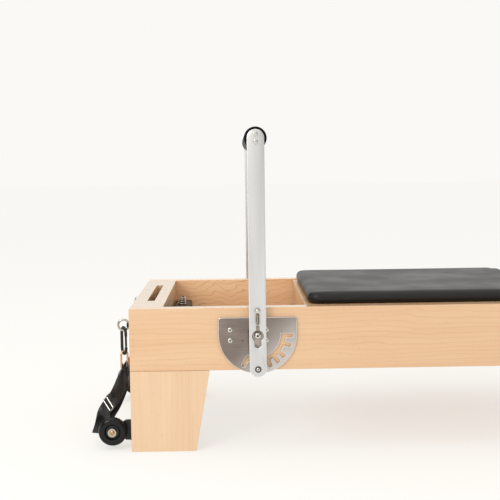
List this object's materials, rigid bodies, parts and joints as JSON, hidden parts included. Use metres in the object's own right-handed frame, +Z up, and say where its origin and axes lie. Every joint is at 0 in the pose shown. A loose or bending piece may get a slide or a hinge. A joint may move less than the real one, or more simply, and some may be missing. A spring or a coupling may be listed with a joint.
{
  "type": "pilates reformer",
  "caption": "Wooden exercise bed with a sprung rolling carriage, shoulder rests, a headrest and a tilting footbar locked on notched plates, with foot end straps and transport wheels.",
  "frame": {"origin": "middle of the floor plan, on the floor", "axes": "+X from the foot end to the head end, +Y from the near side to the far side, +Z up"},
  "size_m": [2.5144, 0.7354, 0.8489],
  "materials": {
    "maple_side": "clear satin lacquer",
    "maple_leg": "clear satin lacquer",
    "maple_top": "clear satin lacquer",
    "maple_end": "clear satin lacquer",
    "maple_board": "clear satin lacquer",
    "aluminium_track": "mill finish",
    "aluminium_arm": "satin anodised",
    "brushed_plate": "brushed",
    "bright_steel": "zinc and nickel plated",
    "dark_bar": "dark bronze powder coat",
    "black_steel": "black powder coat",
    "black_vinyl": "satin vinyl",
    "grip_rubber": "satin closed-cell foam",
    "black_plastic": "moulded",
    "black_tyre": "satin polyurethane",
    "copper_ring": "copper plated",
    "webbing": "woven polyester"
  },
  "bodies": {
    "frame": {"near_side_rail": "maple_side", "far_side_rail": "maple_side", "foot_end_top_board": "maple_top", "foot_end_outer_panel": "maple_end", "foot_end_inner_panel": "maple_end", "head_end_panel": "maple_end", "spring_bar": "dark_bar", "near_foot_leg": "maple_leg", "near_head_leg": "maple_leg", "near_carriage_track": "aluminium_track", "near_lock_plate": "brushed_plate", "near_pivot_bolt": "bright_steel", "near_wheel_bracket": "black_steel", "near_eye_bolt": "bright_steel", "near_pulley_post": "black_steel", "far_foot_leg": "maple_leg", "far_head_leg": "maple_leg", "far_carriage_track": "aluminium_track", "far_lock_plate": "brushed_plate", "far_pivot_bolt": "bright_steel", "far_wheel_bracket": "black_steel", "far_eye_bolt": "bright_steel", "far_pulley_post": "black_steel", "carriage_spring_1": "bright_steel", "carriage_spring_2": "bright_steel", "carriage_spring_3": "bright_steel", "carriage_spring_4": "bright_steel"},
    "carriage": {"carriage_board": "maple_board", "carriage_pad": "black_vinyl", "near_shoulder_pad": "black_vinyl", "near_shoulder_post": "black_steel", "far_shoulder_pad": "black_vinyl", "far_shoulder_post": "black_steel"},
    "headrest": {"headrest": "black_vinyl"},
    "footbar_pivot": {"near_pivot_bush": "bright_steel", "near_lift_spring": "bright_steel", "far_pivot_bush": "bright_steel", "far_lift_spring": "bright_steel"},
    "footbar": {"footbar_cross_tube": "bright_steel", "footbar_grip": "grip_rubber", "near_footbar_arm": "aluminium_arm", "near_lock_pin": "bright_steel", "far_footbar_arm": "aluminium_arm", "far_lock_pin": "bright_steel"},
    "near_foot_carriage_wheel": {"near_foot_carriage_wheel": "black_plastic"},
    "far_foot_carriage_wheel": {"far_foot_carriage_wheel": "black_plastic"},
    "near_head_carriage_wheel": {"near_head_carriage_wheel": "black_plastic"},
    "far_head_carriage_wheel": {"far_head_carriage_wheel": "black_plastic"},
    "near_transport_wheel": {"near_transport_wheel": "black_tyre"},
    "near_pulley": {"near_pulley": "black_plastic"},
    "near_snap_hook": {"near_snap_hook": "black_steel"},
    "near_hook_gate": {"near_hook_gate": "black_steel"},
    "near_strap": {"near_strap_ring": "copper_ring", "near_strap_loop": "webbing"},
    "far_transport_wheel": {"far_transport_wheel": "black_tyre"},
    "far_pulley": {"far_pulley": "black_plastic"},
    "far_snap_hook": {"far_snap_hook": "black_steel"},
    "far_hook_gate": {"far_hook_gate": "black_steel"},
    "far_strap": {"far_strap_ring": "copper_ring", "far_strap_loop": "webbing"}
  },
  "joints": [
    {"name": "carriage_slide", "type": "slide", "parent": "frame", "child": "carriage", "axis": [1, 0, 0], "range_m": [0, 0.86], "stiffness_N_per_m": 400, "springref_m": -0.05, "deforming": ["carriage_spring_1", "carriage_spring_2", "carriage_spring_3", "carriage_spring_4"]},
    {"name": "headrest_tilt", "type": "hinge", "parent": "carriage", "child": "headrest", "pos_m": [0.08485, 0, 0.3789], "axis": [0, -1, 0], "range_deg": [0, 35]},
    {"name": "near_foot_carriage_wheel_spin", "type": "hinge", "parent": "carriage", "child": "near_foot_carriage_wheel", "pos_m": [-0.59315, -0.281, 0.3153], "axis": [0, 1, 0], "continuous": true},
    {"name": "far_foot_carriage_wheel_spin", "type": "hinge", "parent": "carriage", "child": "far_foot_carriage_wheel", "pos_m": [-0.59315, 0.281, 0.3153], "axis": [0, 1, 0], "continuous": true},
    {"name": "near_head_carriage_wheel_spin", "type": "hinge", "parent": "carriage", "child": "near_head_carriage_wheel", "pos_m": [0.18685, -0.281, 0.3153], "axis": [0, 1, 0], "continuous": true},
    {"name": "far_head_carriage_wheel_spin", "type": "hinge", "parent": "carriage", "child": "far_head_carriage_wheel", "pos_m": [0.18685, 0.281, 0.3153], "axis": [0, 1, 0], "continuous": true},
    {"name": "footbar_tilt", "type": "hinge", "parent": "frame", "child": "footbar_pivot", "pos_m": [-0.81015, 0, 0.309], "axis": [0, -1, 0], "range_deg": [-25, 87.7]},
    {"name": "footbar_lift", "type": "slide", "parent": "footbar_pivot", "child": "footbar", "axis": [0, 0, 1], "range_m": [0, 0.022], "stiffness_N_per_m": 600, "springref_m": -0.02, "deforming": ["near_lift_spring", "far_lift_spring"]},
    {"name": "near_transport_wheel_spin", "type": "hinge", "parent": "frame", "child": "near_transport_wheel", "pos_m": [-1.19915, -0.3, 0.047], "axis": [0, 1, 0], "continuous": true},
    {"name": "near_pulley_spin", "type": "hinge", "parent": "frame", "child": "near_pulley", "pos_m": [1.22915, -0.209, 0.572], "axis": [0, 1, 0], "continuous": true},
    {"name": "near_snap_hook_swing", "type": "hinge", "parent": "frame", "child": "near_snap_hook", "pos_m": [-1.17115, -0.235, 0.323], "axis": [0, 1, 0], "range_deg": [-3, 40]},
    {"name": "near_gate_swing", "type": "hinge", "parent": "near_snap_hook", "child": "near_hook_gate", "pos_m": [-1.16414, -0.24938, 0.2683], "axis": [-0.8988, -0.4384, 0], "range_deg": [0, 22], "stiffness_Nm_per_rad": 0.02, "springref_deg": -17.19},
    {"name": "near_strap_swing", "type": "hinge", "parent": "near_snap_hook", "child": "near_strap", "pos_m": [-1.17115, -0.235, 0.2443], "axis": [-0.4384, 0.8988, 0], "range_deg": [-12, 35]},
    {"name": "far_transport_wheel_spin", "type": "hinge", "parent": "frame", "child": "far_transport_wheel", "pos_m": [-1.19915, 0.3, 0.047], "axis": [0, 1, 0], "continuous": true},
    {"name": "far_pulley_spin", "type": "hinge", "parent": "frame", "child": "far_pulley", "pos_m": [1.22915, 0.209, 0.572], "axis": [0, 1, 0], "continuous": true},
    {"name": "far_snap_hook_swing", "type": "hinge", "parent": "frame", "child": "far_snap_hook", "pos_m": [-1.17115, 0.235, 0.323], "axis": [0, 1, 0], "range_deg": [-3, 40]},
    {"name": "far_gate_swing", "type": "hinge", "parent": "far_snap_hook", "child": "far_hook_gate", "pos_m": [-1.16414, 0.24938, 0.2683], "axis": [0.8988, -0.4384, 0], "range_deg": [0, 22], "stiffness_Nm_per_rad": 0.02, "springref_deg": -17.19},
    {"name": "far_strap_swing", "type": "hinge", "parent": "far_snap_hook", "child": "far_strap", "pos_m": [-1.17115, 0.235, 0.2443], "axis": [0.4384, 0.8988, 0], "range_deg": [-12, 35]}
  ],
  "couplings": [
    {"joint": "near_foot_carriage_wheel_spin", "follows": "carriage_slide", "rad_per_m": 45.455},
    {"joint": "far_foot_carriage_wheel_spin", "follows": "carriage_slide", "rad_per_m": 45.455},
    {"joint": "near_head_carriage_wheel_spin", "follows": "carriage_slide", "rad_per_m": 45.455},
    {"joint": "far_head_carriage_wheel_spin", "follows": "carriage_slide", "rad_per_m": 45.455}
  ]
}
